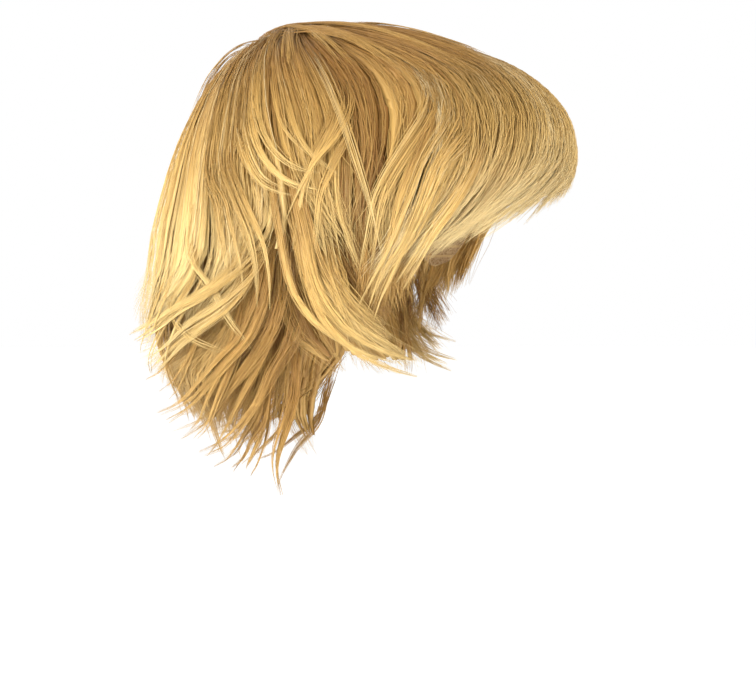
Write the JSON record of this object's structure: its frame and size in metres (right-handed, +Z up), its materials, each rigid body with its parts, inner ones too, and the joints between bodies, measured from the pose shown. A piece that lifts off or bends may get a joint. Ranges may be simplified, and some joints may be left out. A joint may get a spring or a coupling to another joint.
{
  "type": "wig",
  "caption": "Short layered blonde wig on an open cap, with a side-swept fringe, pointed locks curling onto the cheeks and ends flicked out at the back and nape.",
  "frame": {"origin": "top of the head inside the cap, where the wig sits on its wearer or stand", "axes": "+Z up, the face opening looks along -Y, and the wearer's right side is at -X"},
  "size_m": [0.2038, 0.2629, 0.2799],
  "materials": {
    "hair_fibre": "golden blonde synthetic hair, satin sheen along the strands",
    "cap_mesh": "matt beige-brown stretch lace with sewn weft rows"
  },
  "bodies": {
    "root": {"cap": "cap_mesh", "crown_hair": "hair_fibre", "fringe": "hair_fibre", "cheek_lock_right": "hair_fibre", "cheek_lock_left": "hair_fibre", "side_hair_right": "hair_fibre", "side_hair_left": "hair_fibre", "back_hair": "hair_fibre", "nape_hair": "hair_fibre"}
  },
  "joints": []
}
